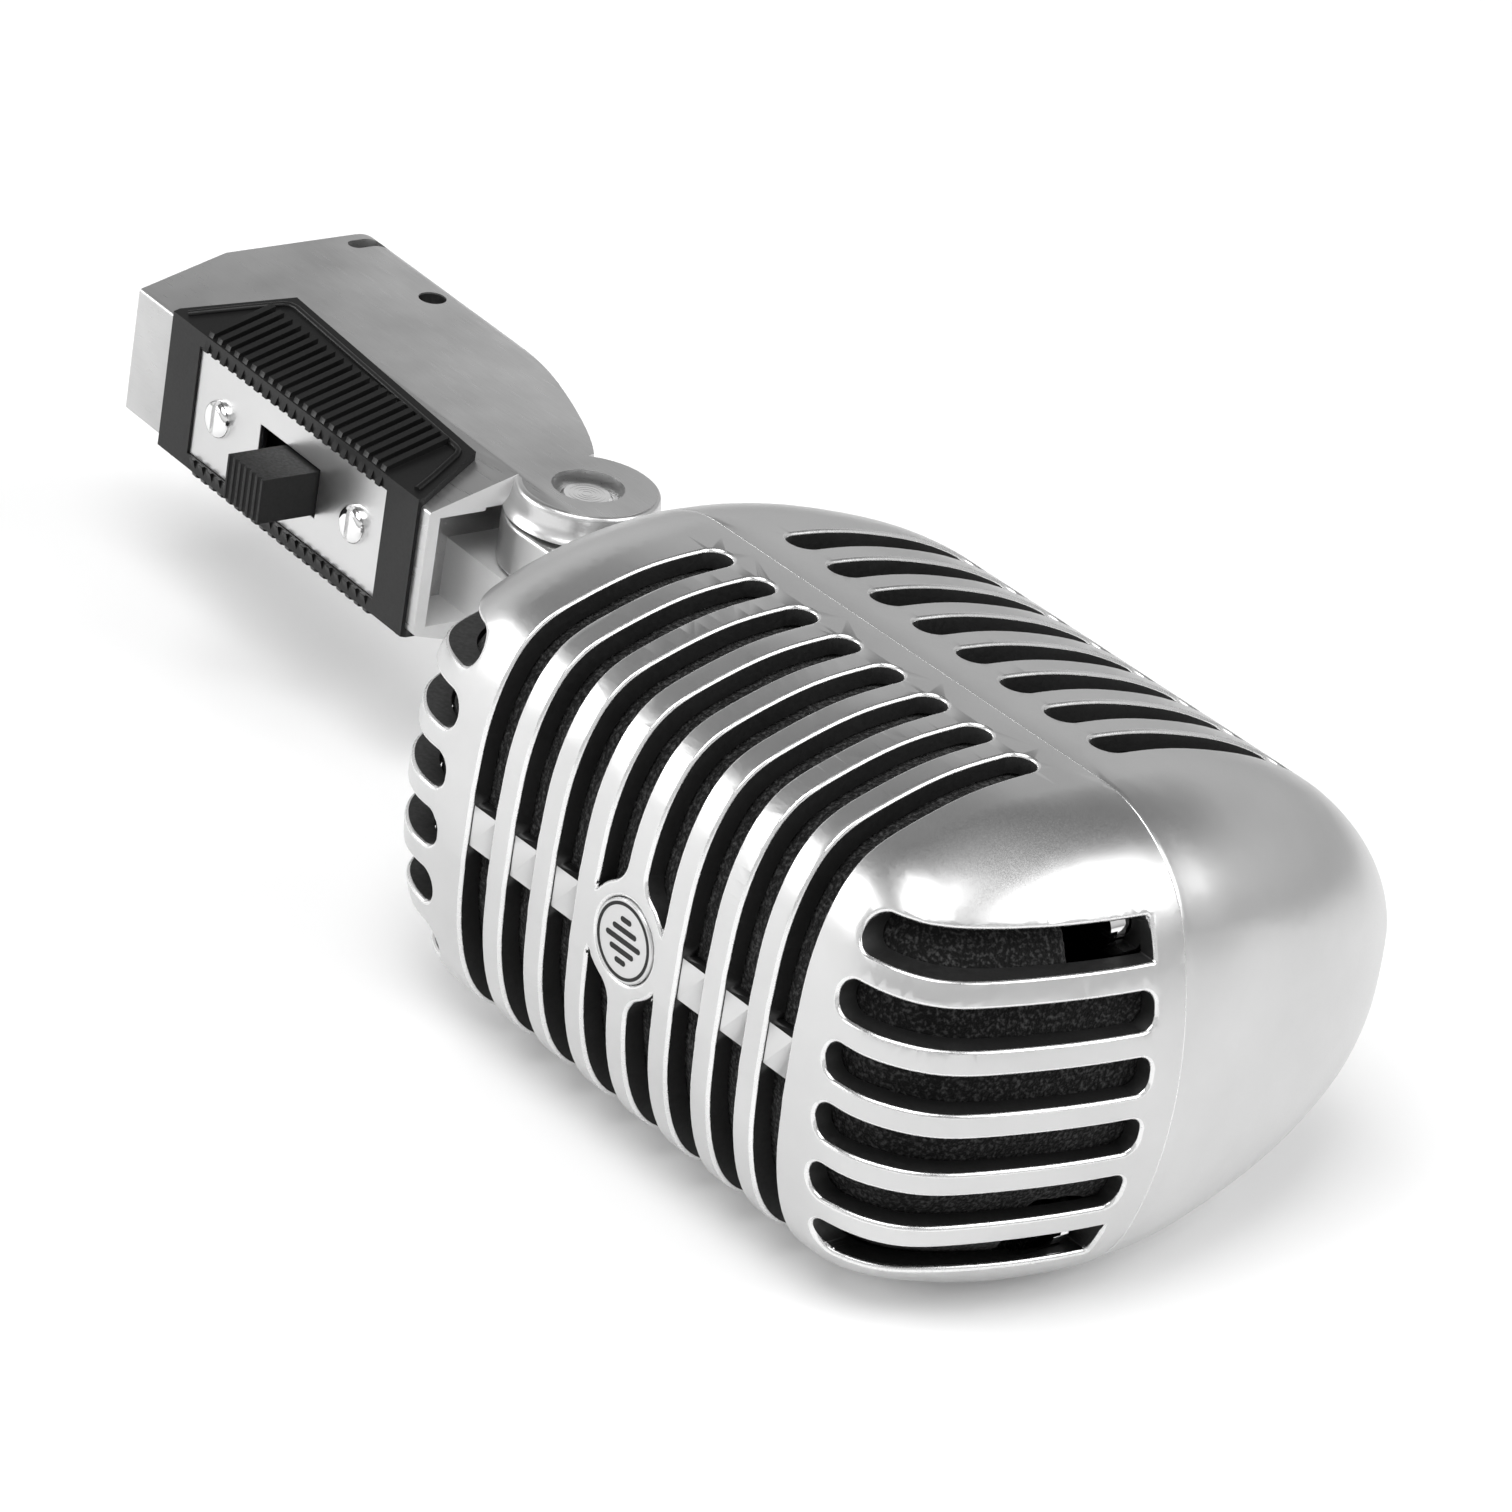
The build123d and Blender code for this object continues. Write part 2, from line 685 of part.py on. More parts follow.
with BuildPart() as friction_washers:
    for seat in (neck_low - side_gap - washer_thickness, neck_high + side_gap):
        with BuildSketch(base_side.offset(seat)):
            Circle(washer_radius - 0.1)
            Circle(pin_radius, mode=Mode.SUBTRACT)
        extrude(amount=washer_thickness)
friction_washers.part.label = "friction_washers"
export_step(friction_washers.part, "parts/friction_washers.step")

with BuildPart() as pivot_lock_screw:
    with BuildSketch(base_face.offset(pin_radius + 0.1)):
        with Locations((0, -(base_half - block_inset) / 2)):
            Circle(lock_screw_radius)
    extrude(amount=-block_front - pin_radius - 1.6)
    with BuildSketch(base_face.offset(-block_front - 1.5)):
        with Locations((0, -(base_half - block_inset) / 2)):
            RegularPolygon(0.8, 6)
    extrude(amount=-1.5, mode=Mode.SUBTRACT)
pivot_lock_screw.part.label = "pivot_lock_screw"
export_step(pivot_lock_screw.part, "parts/pivot_lock_screw.step")

# ---------------------------------------------------------------- switch bezel and plate
flare = (base_half - base_front_half) / (base_crease - base_front)
bezel_half = base_front_half + bezel_side_lift - flare * (base_front - bezel_front)
bezel_bottom = -60.1
bezel_top = -7.1
bezel_ends = [(bezel_bottom, bezel_front - 2), (bezel_bottom, bezel_front + 0.8), (-52.8, -6.0)]
bezel_ends += [(-11.0, -8.2), (bezel_top, bezel_front + 0.8), (bezel_top, bezel_front - 2)]
with BuildPart() as switch_bezel:
    with BuildSketch(base_end.offset(bezel_bottom - 1)):
        with BuildLine():
            Polyline(
                (bezel_front, -bezel_half),
                (base_crease, -base_half - bezel_side_lift),
                (base_crease, base_half + bezel_side_lift),
                (bezel_front, bezel_half),
                close=True,
            )
        make_face()
    extrude(amount=bezel_top - bezel_bottom + 2)
    # ribs over both flares
    for side in (-1, 1):
        for i in range(rib_count):
            along = bezel_centre + (i - (rib_count - 1) / 2) * rib_pitch - rib_width / 2
            with BuildSketch(base_end.offset(along)):
                with BuildLine():
                    Polyline(
                        (bezel_front - 0.35, side * (plate_width / 2 + 0.2)),
                        (bezel_front + 0.4, side * (bezel_half + 0.65)),
                        (-9.6, side * (base_half + 0.85)),
                        (-9.6, 0),
                        (bezel_front - 0.35, 0),
                        close=True,
                    )
                make_face()
            extrude(amount=rib_width)
    with BuildSketch(base_side.offset(-2 * base_half)):
        with BuildLine():
            Polyline(*bezel_ends, close=True)
        make_face()
    extrude(amount=4 * base_half, mode=Mode.INTERSECT)
    add(base_form.part, mode=Mode.SUBTRACT)
    # seat for the plate, and the opening for the switch
    with BuildSketch(base_face.offset(-plate_front - plate_thickness)):
        with Locations((bezel_centre, 0)):
            Rectangle(plate_length, plate_width)
    extrude(amount=5, mode=Mode.SUBTRACT)
    with BuildSketch(base_face.offset(8)):
        with Locations((bezel_centre, 0)):
            Rectangle(slot_length, switch_slot_width)
        with Locations((bezel_centre - plate_screw_offset, 0), (bezel_centre + plate_screw_offset, 0)):
            Circle(plate_hole_radius)
    extrude(amount=12, mode=Mode.SUBTRACT)
switch_bezel.part.label = "switch_bezel"
export_step(switch_bezel.part, "parts/switch_bezel.step")

screw_ends = [(bezel_centre - plate_screw_offset, 0), (bezel_centre + plate_screw_offset, 0)]
with BuildPart() as switch_plate:
    with BuildSketch(base_face.offset(-plate_front - plate_thickness)):
        with Locations((bezel_centre, 0)):
            Rectangle(plate_length, plate_width)
            Rectangle(slot_length, switch_slot_width, mode=Mode.SUBTRACT)
        with Locations(*screw_ends):
            Circle(plate_hole_radius, mode=Mode.SUBTRACT)
    extrude(amount=plate_thickness)
switch_plate.part.label = "switch_plate"
export_step(switch_plate.part, "parts/switch_plate.step")

dome_height = 1.2
with BuildPart() as plate_screws:
    with BuildSketch(base_face.offset(-plate_front)):
        with Locations(*screw_ends):
            Circle(plate_screw_radius)
    extrude(amount=dome_height)
    front_edges = plate_screws.edges().filter_by(GeomType.CIRCLE)
    fillet(front_edges.group_by(Axis(pivot, base_side.y_dir))[0], 1.0)
    with BuildSketch(base_face.offset(-plate_front + dome_height)):
        with Locations(*screw_ends):
            Rectangle(0.7, 5)
    extrude(amount=-0.7, mode=Mode.SUBTRACT)
    with BuildSketch(base_face.offset(11)):
        with Locations(*screw_ends):
            Circle(plate_hole_radius)
    extrude(amount=-plate_front - 11)
plate_screws.part.label = "plate_screws"
export_step(plate_screws.part, "parts/plate_screws.step")

# ---------------------------------------------------------------- switch
switch_front = -14.5
switch_back = -8.6
foot_length = 4.0
foot_width = 3.0
travel = slot_length - knob_length - 0.4
knob_u = bezel_centre + slot_length / 2 - 0.2 - knob_length / 2
with BuildPart() as switch_body:
    with BuildSketch(base_face.offset(-switch_back)):
        with Locations((bezel_centre, 0)):
            Rectangle(36, 10.4)
    extrude(amount=switch_back - switch_front)
    with BuildSketch(base_face.offset(-switch_front)):
        with Locations((knob_u - travel / 2, 0)):
            Rectangle(foot_length + travel + 0.6, foot_width + 0.6)
    extrude(amount=-3.2, mode=Mode.SUBTRACT)
    with BuildSketch(base_face.offset(11)):
        with Locations(*screw_ends):
            Circle(plate_hole_radius)
    extrude(amount=5, mode=Mode.SUBTRACT)
switch_body.part.label = "switch_body"
export_step(switch_body.part, "parts/switch_body.step")

with BuildPart() as switch_contacts:
    with BuildSketch(base_face.offset(-switch_back)):
        with Locations((bezel_centre, 0)):
            with GridLocations(4.2, 5.0, 3, 2):
                Rectangle(1.6, 0.5)
    extrude(amount=-2.4)
switch_contacts.part.label = "switch_contacts"
export_step(switch_contacts.part, "parts/switch_contacts.step")

with BuildPart() as switch_knob:
    with BuildSketch(base_face.offset(-knob_foot)):
        with Locations((knob_u, 0)):
            Rectangle(knob_length, knob_width)
    extrude(amount=knob_foot - knob_front)
    # finger grooves across the front face
    with BuildSketch(base_side.offset(-knob_width)):
        for i in range(6):
            with Locations((knob_u + (i - 2.5) * 1.2, knob_front)):
                Circle(0.35)
    extrude(amount=2 * knob_width, mode=Mode.SUBTRACT)
    with BuildSketch(base_face.offset(-knob_foot)):
        with Locations((knob_u, 0)):
            Rectangle(foot_length, foot_width)
    extrude(amount=-2.4)
switch_knob.part.label = "switch_knob"
export_step(switch_knob.part, "parts/switch_knob.step")

# ---------------------------------------------------------------- connector and transformer
pins = [(connector_u - 3.3, 3.3), (connector_u - 3.3, -3.3), (connector_u + 4.2, 0)]
with BuildPart() as connector_insert:
    with BuildSketch(base_face.offset(-connector_disc_back - connector_disc)):
        with Locations((connector_u, 0)):
            Circle(connector_radius)
        with Locations(*pins):
            Circle(contact_radius, mode=Mode.SUBTRACT)
    extrude(amount=connector_disc)
connector_insert.part.label = "connector_insert"
export_step(connector_insert.part, "parts/connector_insert.step")

with BuildPart() as connector_pins:
    with BuildSketch(base_face.offset(-base_back + 1.2)):
        with Locations(*pins):
            Circle(contact_radius)
    extrude(amount=base_back - 1.2 - connector_disc_back + 0.8)
    fillet(connector_pins.faces().sort_by(Axis.Y)[-3:].edges(), 0.6)
connector_pins.part.label = "connector_pins"
export_step(connector_pins.part, "parts/connector_pins.step")

with BuildPart() as connector_screw:
    with BuildSketch(base_side.offset(5.0)):
        with Locations((connector_u + connector_hole_offset, side_hole_b)):
            Circle(1.6)
    extrude(amount=4.4)
    with BuildSketch(base_side.offset(9.4)):
        with Locations((connector_u + connector_hole_offset, side_hole_b)):
            Rectangle(3.4, 0.5)
    extrude(amount=-0.6, mode=Mode.SUBTRACT)
connector_screw.part.label = "connector_screw"
export_step(connector_screw.part, "parts/connector_screw.step")

with BuildPart() as transformer_core:
    with BuildSketch(base_face.offset(-6.6)):
        with Locations((transformer_u, 0)):
            Rectangle(19, 15)
            Rectangle(13, 9, mode=Mode.SUBTRACT)
            Rectangle(4.5, 9)
    extrude(amount=8)
transformer_core.part.label = "transformer_core"
export_step(transformer_core.part, "parts/transformer_core.step")

with BuildPart() as transformer_winding:
    with BuildSketch(base_face.offset(-6.9)):
        with Locations((transformer_u, 0)):
            Rectangle(12.6, 8.6)
            Rectangle(4.5, 8.7, mode=Mode.SUBTRACT)
    extrude(amount=9.5)
    with BuildSketch(base_face.offset(1.4)):
        with Locations((transformer_u, 0)):
            Rectangle(12.6, 8.6)
    extrude(amount=1.2)
transformer_winding.part.label = "transformer_winding"
export_step(transformer_winding.part, "parts/transformer_winding.step")

with BuildPart() as base_leads:
    with BuildSketch(base_end.offset(-52)):
        with Locations((lead_b, 0.65), (lead_b, -0.65)):
            Circle(0.5)
    extrude(amount=52 + transformer_u - 9.5)
base_leads.part.label = "base_leads"
export_step(base_leads.part, "parts/base_leads.step")

with BuildPart() as head_leads:
    with BuildSketch(head_front.offset(-capsule_back)):
        with Locations((-7.0, 6.5), (-7.0, 8.5)):
            Circle(0.5)
    extrude(amount=-6)
    with BuildSketch(head_cross.offset(-flange_top)):
        with Locations((capsule_back + 5.5, 6.5), (capsule_back + 5.5, 8.5)):
            Circle(0.5)
    extrude(amount=flange_top - 6.5)
head_leads.part.label = "head_leads"
export_step(head_leads.part, "parts/head_leads.step")
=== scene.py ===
"""Looks for the vocal microphone that lies on its side: materials, foam, badge and trim."""

import json
import math

import bmesh
import bpy
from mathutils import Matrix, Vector, noise


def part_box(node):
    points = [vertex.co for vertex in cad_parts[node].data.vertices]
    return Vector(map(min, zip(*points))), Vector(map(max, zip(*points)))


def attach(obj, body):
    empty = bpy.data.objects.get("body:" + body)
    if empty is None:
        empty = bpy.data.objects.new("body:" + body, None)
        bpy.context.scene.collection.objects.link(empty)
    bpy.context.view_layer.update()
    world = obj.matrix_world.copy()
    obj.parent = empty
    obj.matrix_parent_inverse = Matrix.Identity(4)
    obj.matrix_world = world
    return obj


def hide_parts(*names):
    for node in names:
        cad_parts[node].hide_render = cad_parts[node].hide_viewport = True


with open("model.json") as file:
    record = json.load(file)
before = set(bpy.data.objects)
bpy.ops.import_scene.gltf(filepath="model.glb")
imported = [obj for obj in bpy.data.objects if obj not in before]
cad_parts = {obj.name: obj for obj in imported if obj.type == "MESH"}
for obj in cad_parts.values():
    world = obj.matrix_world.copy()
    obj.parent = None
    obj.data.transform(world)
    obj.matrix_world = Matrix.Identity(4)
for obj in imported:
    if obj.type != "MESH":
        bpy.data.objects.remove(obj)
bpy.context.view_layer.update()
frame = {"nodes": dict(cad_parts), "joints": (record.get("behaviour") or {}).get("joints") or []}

MM = 0.001

# ---------------------------------------------------------------- places, from the frame
badge_low, badge_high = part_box("badge")
HEAD_X = (badge_low.x + badge_high.x) / 2
AXIS_Z = (badge_low.z + badge_high.z) / 2
BADGE_FACE_Y = badge_low.y
PARTING_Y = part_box("front_grille")[1].y
joints = {joint["name"]: joint for joint in frame["joints"]}
PIVOT = Vector(joints["head_tilt"]["pos_m"])
UP = Vector((0, 0, 1))
BASE_U = -Vector(joints["switch_slide"]["axis"])
BASE_B = UP.cross(BASE_U)


def on_base(u, b, h):
    """A point of the base: u along its axis, b backwards, h up, in mm from the pivot."""
    return PIVOT + (BASE_U * u + BASE_B * b + UP * h) * MM


# ---------------------------------------------------------------- node material helpers
def new_material(name):
    material = bpy.data.materials.new(name)
    material.use_nodes = True
    nodes = material.node_tree.nodes
    return material, nodes, material.node_tree.links, nodes["Principled BSDF"]


def object_coords(nodes):
    return nodes.new("ShaderNodeTexCoord").outputs["Object"]


def noise_node(nodes, links, coords, scale, detail=3.0, stretch=None, turn=0.0):
    texture = nodes.new("ShaderNodeTexNoise")
    texture.inputs["Scale"].default_value = scale
    texture.inputs["Detail"].default_value = detail
    if stretch:
        mapping = nodes.new("ShaderNodeMapping")
        mapping.inputs["Rotation"].default_value = (0, 0, turn)
        mapping.inputs["Scale"].default_value = stretch
        links.new(coords, mapping.inputs["Vector"])
        coords = mapping.outputs["Vector"]
    links.new(coords, texture.inputs["Vector"])
    return texture.outputs["Fac"]


def ramp(nodes, links, value, low, high, low_at=0.3, high_at=0.7):
    """Maps a noise value to a colour between low and high."""
    node = nodes.new("ShaderNodeValToRGB")
    node.color_ramp.elements[0].position = low_at
    node.color_ramp.elements[1].position = high_at
    node.color_ramp.elements[0].color = (*low, 1)
    node.color_ramp.elements[1].color = (*high, 1)
    links.new(value, node.inputs["Fac"])
    return node.outputs["Color"]


def grey(value):
    return (value, value, value)


def bump(nodes, links, bsdf, height, distance, strength=1.0):
    node = nodes.new("ShaderNodeBump")
    node.inputs["Distance"].default_value = distance
    node.inputs["Strength"].default_value = strength
    links.new(height, node.inputs["Height"])
    links.new(node.outputs["Normal"], bsdf.inputs["Normal"])


def surface(
    name, metallic, dark, light, rough, grain, depth,
    stretch=None, cloud_scale=60.0, turn=0.0, shine=0.5,
):
    """A metal or plastic whose tone, roughness and fine grain all vary a little."""
    material, nodes, links, bsdf = new_material(name)
    coords = object_coords(nodes)
    bsdf.inputs["Metallic"].default_value = metallic
    bsdf.inputs["Specular IOR Level"].default_value = shine
    cloud = noise_node(nodes, links, coords, cloud_scale, 4.0)
    links.new(ramp(nodes, links, cloud, dark, light), bsdf.inputs["Base Color"])
    fine = noise_node(nodes, links, coords, grain, 2.0, stretch, turn)
    links.new(ramp(nodes, links, fine, grey(rough[0]), grey(rough[1])), bsdf.inputs["Roughness"])
    bump(nodes, links, bsdf, fine, depth)
    return material


# Brushed grain runs along the base, which leans off the head's axis
LEAN = math.atan2(BASE_U.y, BASE_U.x)
LONG_GRAIN = (0.04, 1, 1)
satin = surface("satin_chrome", 0.97, grey(0.56), grey(0.62), (0.28, 0.36), 5200.0, 0.000003)
# Slot rims: smoother, as polished metal, and lighter than the satin as a painted highlight
rim_metal_and_highlight = surface("slot_rim_and_highlight", 1, grey(0.70), grey(0.78), (0.22, 0.30), 1500.0, 0.000003)
brushed = surface(
    "brushed_chrome", 0.94, grey(0.42), grey(0.68), (0.27, 0.42), 5200.0, 0.000004,
    LONG_GRAIN, 38.0, -LEAN,
)
# Paler and rougher than the brushed metal, for the fork: rougher as cast, paler as painted light
cast_and_lit_metal = surface("cast_and_lit_metal", 0.45, grey(0.72), grey(0.82), (0.42, 0.55), 2600.0, 0.000008)
bright = surface("bright_chrome", 1, grey(0.74), grey(0.84), (0.10, 0.17), 900.0, 0.000004)
polished = surface("polished_chrome", 1, grey(0.80), grey(0.88), (0.05, 0.10), 700.0, 0.000003)
steel = surface("plated_steel", 1, grey(0.55), grey(0.65), (0.22, 0.34), 2600.0, 0.00001)
alloy = surface("capsule_alloy", 1, grey(0.5), grey(0.6), (0.3, 0.42), 3000.0, 0.00001)
brass = surface(
    "contact_metal", 1, (0.70, 0.62, 0.42), (0.82, 0.75, 0.55), (0.18, 0.3), 2500.0, 0.000008
)
copper = surface(
    "copper", 1, (0.55, 0.22, 0.10), (0.72, 0.34, 0.17), (0.28, 0.42), 900.0, 0.00008, (1, 1, 4)
)
iron = surface("iron", 1, grey(0.16), grey(0.24), (0.45, 0.6), 1800.0, 0.00002)
plate_metal = surface(
    "plate_metal", 1, grey(0.60), grey(0.66), (0.28, 0.33), 5200.0, 0.000001,
    LONG_GRAIN, 40.0, -LEAN,
)
# Near-black: dark paint on the slot walls, and painted shade inside the shell, round the pin ends
# and in the side hole
dark_paint_and_shade = surface("slot_paint_and_shade", 0, grey(0.006), grey(0.014), (0.45, 0.62), 1800.0, 0.00002)
black = surface(
    "black_plastic", 0, grey(0.005), grey(0.009), (0.28, 0.40), 2400.0, 0.000004, shine=0.22
)
matte = surface(
    "knob_plastic", 0, grey(0.006), grey(0.012), (0.45, 0.60), 2600.0, 0.000006, shine=0.25
)
rubber = surface("rubber", 0, grey(0.02), grey(0.035), (0.65, 0.8), 1800.0, 0.00002)
nylon = surface("nylon", 0, (0.72, 0.70, 0.64), (0.8, 0.78, 0.72), (0.4, 0.5), 1500.0, 0.00001)
lead_red = surface(
    "lead_red", 0, (0.35, 0.02, 0.015), (0.45, 0.035, 0.02), (0.4, 0.5), 1500.0, 0.00001
)
film = surface("film", 0, (0.62, 0.6, 0.55), (0.7, 0.68, 0.62), (0.12, 0.2), 900.0, 0.00001)


def foam_material():
    """Near-black fleece with grey specks where single fibres catch the light."""
    material, nodes, links, bsdf = new_material("foam_fleece")
    coords = object_coords(nodes)
    fibres = noise_node(nodes, links, coords, 2300.0, 4.0)
    specks = ramp(nodes, links, fibres, grey(0.004), grey(0.075), 0.50, 0.74)
    links.new(specks, bsdf.inputs["Base Color"])
    bsdf.inputs["Roughness"].default_value = 0.95
    bsdf.inputs["Specular IOR Level"].default_value = 0.2
    bsdf.inputs["Sheen Weight"].default_value = 0.12
    bump(nodes, links, bsdf, fibres, 0.0004)
    return material


foam = foam_material()

FINISH = {
    brushed: ("base_casting",),
    satin: ("front_grille", "rear_shell", "swivel_neck", "badge"),
    polished: ("plate_screws", "case_screws"),
    bright: ("pivot_pin",),
    steel: ("yoke", "capsule_bracket", "pivot_lock_screw", "connector_screw"),
    alloy: ("capsule_can", "capsule_cap"),
    brass: ("connector_pins", "switch_contacts"),
    copper: ("voice_coil", "transformer_winding"),
    iron: ("magnet", "transformer_core"),
    plate_metal: ("switch_plate",),
    black: ("switch_bezel", "switch_body", "connector_insert"),
    matte: ("switch_knob",),
    rubber: ("shock_rings",),
    nylon: ("friction_washers",),
    lead_red: ("head_leads", "base_leads"),
    film: ("diaphragm",),
    foam: ("foam_liner_front", "foam_liner_rear"),
}
for material, names in FINISH.items():
    for name in names:
        mesh = frame["nodes"][name].data
        mesh.materials.clear()
        mesh.materials.append(material)


# ---------------------------------------------------------------- mesh helpers
CREASE_DEGREES = 34
WELD_GAP = 0.002 * MM


def add_object(name, mesh):
    piece = bpy.data.objects.new(name, mesh)
    bpy.context.scene.collection.objects.link(piece)
    return piece


def apply_modifiers(piece):
    """Turns the piece's modifiers into plain mesh."""
    graph = bpy.context.evaluated_depsgraph_get()
    done = bpy.data.meshes.new_from_object(piece.evaluated_get(graph))
    piece.modifiers.clear()
    old = piece.data
    piece.data = done
    bpy.data.meshes.remove(old)


def smooth(piece, degrees=CREASE_DEGREES):
    piece.data.shade_smooth()
    piece.data.set_sharp_from_angle(angle=math.radians(degrees))


def weigh_normals(piece):
    modifier = piece.modifiers.new("normals", "WEIGHTED_NORMAL")
    modifier.keep_sharp = True
    modifier.weight = 90
    apply_modifiers(piece)


def welded_copy(node_name):
    """A copy of a node's mesh with its split vertices joined, as a bmesh."""
    bm = bmesh.new()
    bm.from_mesh(frame["nodes"][node_name].data)
    bmesh.ops.remove_doubles(bm, verts=bm.verts, dist=WELD_GAP)
    return bm


def bridge(bm, rings, closed):
    """Joins each ring of vertices to the next, and the last to the first or else caps both."""
    following = rings[1:] + rings[:1] if closed else rings[1:]
    faces = []
    for ring, other in zip(rings, following):
        for i in range(len(ring)):
            j = (i + 1) % len(ring)
            faces.append(bm.faces.new((ring[i], ring[j], other[j], other[i])))
    if not closed:
        bm.faces.new(list(reversed(rings[0])))
        bm.faces.new(rings[-1])
    return faces


# ---------------------------------------------------------------- rounded slot mouths
MOUTH_RADIUS = 0.45 * MM
SEAM_RADIUS = 0.10 * MM
METAL, INSIDE, RIM = range(3)

# A box well inside the head, that every outer surface faces away from
CORE_HALF_LENGTH = 32 * MM
CORE_HALF_WIDTH = 10 * MM
CORE_FORWARD = 12 * MM
CORE_BACKWARD = 22 * MM

# What counts as the outer edge of a slot, and how finely its ring is followed
SLOT_EDGE_ANGLE = math.radians(38)
FACING_OUT = 0.45
SHORTEST_RING = 12
STATION_GAP = 0.12 * MM
AT_PARTING = 0.05 * MM
SAME_REGION_ANGLE = math.radians(30)

# How far the cutter stands off the surfaces that it meets, and past them outside the edge
CUTTER_LIFT = 0.02 * MM
CUTTER_REACH = 0.5 * MM


def outward(point):
    """The direction out of the head at a point, from the nearest point of the core box."""
    near = Vector((
        min(max(point.x, HEAD_X - CORE_HALF_LENGTH), HEAD_X + CORE_HALF_LENGTH),
        min(max(point.y, PARTING_Y - CORE_FORWARD), PARTING_Y + CORE_BACKWARD),
        min(max(point.z, AXIS_Z - CORE_HALF_WIDTH), AXIS_Z + CORE_HALF_WIDTH),
    ))
    return (point - near).normalized()


def stations_of(ring, picked):
    """(point, outer normal, wall normal) at the vertices of one ring, less those too close."""
    stations = []
    for vert in ring:
        near = [picked[e] for e in vert.link_edges if e in picked]
        outer = sum((n[0] for n in near), Vector()).normalized()
        wall = sum((n[1] for n in near), Vector()).normalized()
        if stations and (vert.co - stations[-1][0]).length < STATION_GAP:
            continue
        stations.append((vert.co.copy(), outer, wall))
    return stations


def mouth_loops(bm):
    """The rings along the slots' sharp outer edges, and the ring along the parting line."""
    picked = {}
    for edge in bm.edges:
        if len(edge.link_faces) != 2:
            continue
        first, second = edge.link_faces
        if first.normal.angle(second.normal, 0) < SLOT_EDGE_ANGLE:
            continue
        middle = (edge.verts[0].co + edge.verts[1].co) / 2
        out = outward(middle)
        lean_first, lean_second = first.normal.dot(out), second.normal.dot(out)
        outer, wall = (first, second) if lean_first > lean_second else (second, first)
        if max(lean_first, lean_second) < FACING_OUT or not edge.is_convex:
            continue
        picked[edge] = (outer.normal.copy(), wall.normal.copy())
    rings, parting = [], []
    unused = dict.fromkeys(picked)
    while unused:
        edge, _ = unused.popitem()
        chain = [edge.verts[0], edge.verts[1]]
        while True:
            following = [e for e in chain[-1].link_edges if e in unused]
            if not following:
                break
            del unused[following[0]]
            chain.append(following[0].other_vert(chain[-1]))
        if chain[0] is chain[-1] and len(chain) > SHORTEST_RING:
            at_parting = all(abs(vert.co.y - PARTING_Y) < AT_PARTING for vert in chain)
            (parting if at_parting else rings).append(stations_of(chain[:-1], picked))
    return rings, parting


def mouth_cutter(rings, steps=4):
    """A closed tube along each ring that takes a fillet of the ring's radius off the edge."""
    bm = bmesh.new()
    for ring, radius in rings:
        rows = []
        for point, outer, wall in ring:
            along = (-(wall - outer * wall.dot(outer))).normalized()
            down = (-(outer - wall * outer.dot(wall))).normalized()
            angle = along.angle(down)
            reach = radius / math.tan(angle / 2)
            centre = point + (along + down).normalized() * radius / math.sin(angle / 2)
            start, stop = point + along * reach - centre, point + down * reach - centre
            spokes = [start.slerp(stop, i / steps).normalized() for i in range(steps + 1)]
            arc = [centre + spoke * radius for spoke in spokes]
            profile = [arc[0] + outer * CUTTER_REACH, arc[0] + outer * CUTTER_LIFT]
            profile += arc[1:-1]
            profile += [arc[-1] + wall * CUTTER_LIFT, arc[-1] + wall * CUTTER_REACH]
            profile += [point + (outer + wall) * CUTTER_REACH]
            rows.append([bm.verts.new(co) for co in profile])
        tube = bridge(bm, rows, closed=True)
        middle = sum((v.co for v in rows[0]), Vector()) / len(rows[0])
        tube[0].normal_update()
        if tube[0].normal.dot(tube[0].calc_center_median() - middle) < 0:
            bmesh.ops.reverse_faces(bm, faces=tube)
    mesh = bpy.data.meshes.new("mouths")
    bm.to_mesh(mesh)
    bm.free()
    return mesh


def paint_regions(bm):
    """Sorts the faces of a shell into its outside and the walls and inside of its slots; the walls
    and inside are made near-black, partly dark paint and partly painted shade.
    """
    waiting = dict.fromkeys(bm.faces)
    while waiting:
        seed, _ = waiting.popitem()
        region, stack = [seed], [seed]
        while stack:
            face = stack.pop()
            for edge in face.edges:
                for other in edge.link_faces:
                    turned = face.normal.angle(other.normal, 0)
                    if other in waiting and turned < SAME_REGION_ANGLE:
                        del waiting[other]
                        region.append(other)
                        stack.append(other)
        area = sum(f.calc_area() for f in region)
        lean = sum(f.normal.dot(outward(f.calc_center_median())) * f.calc_area() for f in region)
        for face in region:
            # Inward faces take the near-black of dark paint and painted shade
            face.material_index = METAL if lean > 0.5 * area else INSIDE


